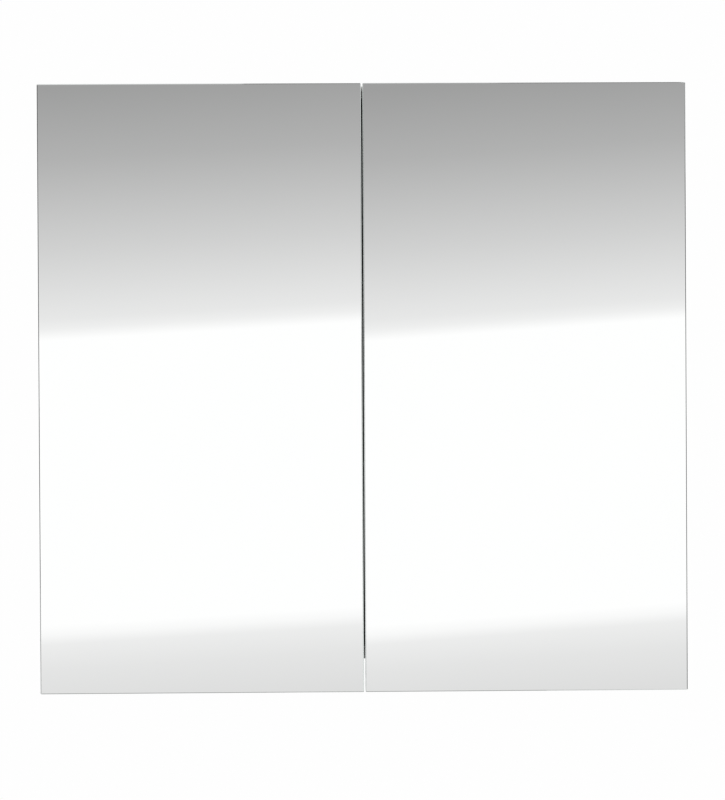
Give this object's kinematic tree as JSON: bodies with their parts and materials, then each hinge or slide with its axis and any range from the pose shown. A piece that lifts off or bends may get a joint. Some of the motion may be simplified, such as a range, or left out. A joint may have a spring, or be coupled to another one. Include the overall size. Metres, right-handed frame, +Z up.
{
  "type": "mirrored medicine cabinet",
  "caption": "Wall-hung bathroom cabinet with two frameless mirror doors on concealed hinges, a panel carcass and glass shelves behind them.",
  "frame": {"origin": "centre of the four wall screw holes, on the wall plane", "axes": "+X to the right seen from the front, +Y into the wall, +Z up; the mirrors face -Y"},
  "size_m": [0.8, 0.17, 0.75],
  "materials": {
    "carcass_board": "white melamine on chipboard, satin",
    "door_board": "white melamine on chipboard, satin",
    "back_board": "white-faced hardboard",
    "silver_mirror": "silvered float glass, polished edge",
    "shelf_glass": "clear tempered float glass, polished edge",
    "hinge_steel": "nickel plated",
    "screw_steel": "zinc plated",
    "beech": "plain fluted beech",
    "cap_plastic": "white, satin",
    "soft_clear": "clear, soft",
    "foam_tape": "white foam with adhesive"
  },
  "bodies": {
    "cabinet": {"side_left": "carcass_board", "side_right": "carcass_board", "top_panel": "carcass_board", "bottom_panel": "carcass_board", "upper_rail": "carcass_board", "lower_rail": "carcass_board", "back_panel": "back_board", "dowels": "beech", "rail_dowels": "beech", "cam_bolts": "screw_steel", "cam_housings": "screw_steel", "cam_covers": "cap_plastic", "upper_shelf": "shelf_glass", "lower_shelf": "shelf_glass", "shelf_pins": "hinge_steel", "shelf_pin_sleeves": "soft_clear", "left_hinge_arms": "hinge_steel", "left_arm_pins": "hinge_steel", "left_hinge_plates": "hinge_steel", "left_plate_screws": "screw_steel", "left_arm_screws": "screw_steel", "right_hinge_arms": "hinge_steel", "right_arm_pins": "hinge_steel", "right_hinge_plates": "hinge_steel", "right_plate_screws": "screw_steel", "right_arm_screws": "screw_steel"},
    "left_door": {"left_door_panel": "door_board", "left_mirror": "silver_mirror", "left_mirror_tape": "foam_tape", "left_hinge_cups": "hinge_steel", "left_cup_screws": "screw_steel", "left_cup_pins": "hinge_steel", "left_door_buffers": "soft_clear"},
    "right_door": {"right_door_panel": "door_board", "right_mirror": "silver_mirror", "right_mirror_tape": "foam_tape", "right_hinge_cups": "hinge_steel", "right_cup_screws": "screw_steel", "right_cup_pins": "hinge_steel", "right_door_buffers": "soft_clear"},
    "left_outer_links": {"left_outer_links": "hinge_steel"},
    "left_inner_links": {"left_inner_links": "hinge_steel"},
    "right_outer_links": {"right_outer_links": "hinge_steel"},
    "right_inner_links": {"right_inner_links": "hinge_steel"}
  },
  "joints": [
    {"name": "left_outer_link_swing", "type": "hinge", "parent": "cabinet", "child": "left_outer_links", "pos_m": [-0.372, -0.144, 0], "axis": [0, 0, 1], "range_deg": [0, 33.5]},
    {"name": "left_door_swing", "type": "hinge", "parent": "left_outer_links", "child": "left_door", "pos_m": [-0.389, -0.155, 0], "axis": [0, 0, -1], "range_deg": [0, 128.25]},
    {"name": "left_inner_link_swing", "type": "hinge", "parent": "left_door", "child": "left_inner_links", "pos_m": [-0.38535, -0.1522, 0], "axis": [0, 0, 1], "range_deg": [0, 144.8]},
    {"name": "right_outer_link_swing", "type": "hinge", "parent": "cabinet", "child": "right_outer_links", "pos_m": [0.372, -0.144, 0], "axis": [0, 0, -1], "range_deg": [0, 33.5]},
    {"name": "right_door_swing", "type": "hinge", "parent": "right_outer_links", "child": "right_door", "pos_m": [0.389, -0.155, 0], "axis": [0, 0, 1], "range_deg": [0, 128.25]},
    {"name": "right_inner_link_swing", "type": "hinge", "parent": "right_door", "child": "right_inner_links", "pos_m": [0.38535, -0.1522, 0], "axis": [0, 0, -1], "range_deg": [0, 144.8]}
  ],
  "couplings": [
    {"joint": "left_outer_link_swing", "follows": "left_door_swing", "ratio": 0.25926},
    {"joint": "left_inner_link_swing", "follows": "left_door_swing", "ratio": 1.1259},
    {"joint": "right_outer_link_swing", "follows": "right_door_swing", "ratio": 0.25926},
    {"joint": "right_inner_link_swing", "follows": "right_door_swing", "ratio": 1.1259}
  ]
}
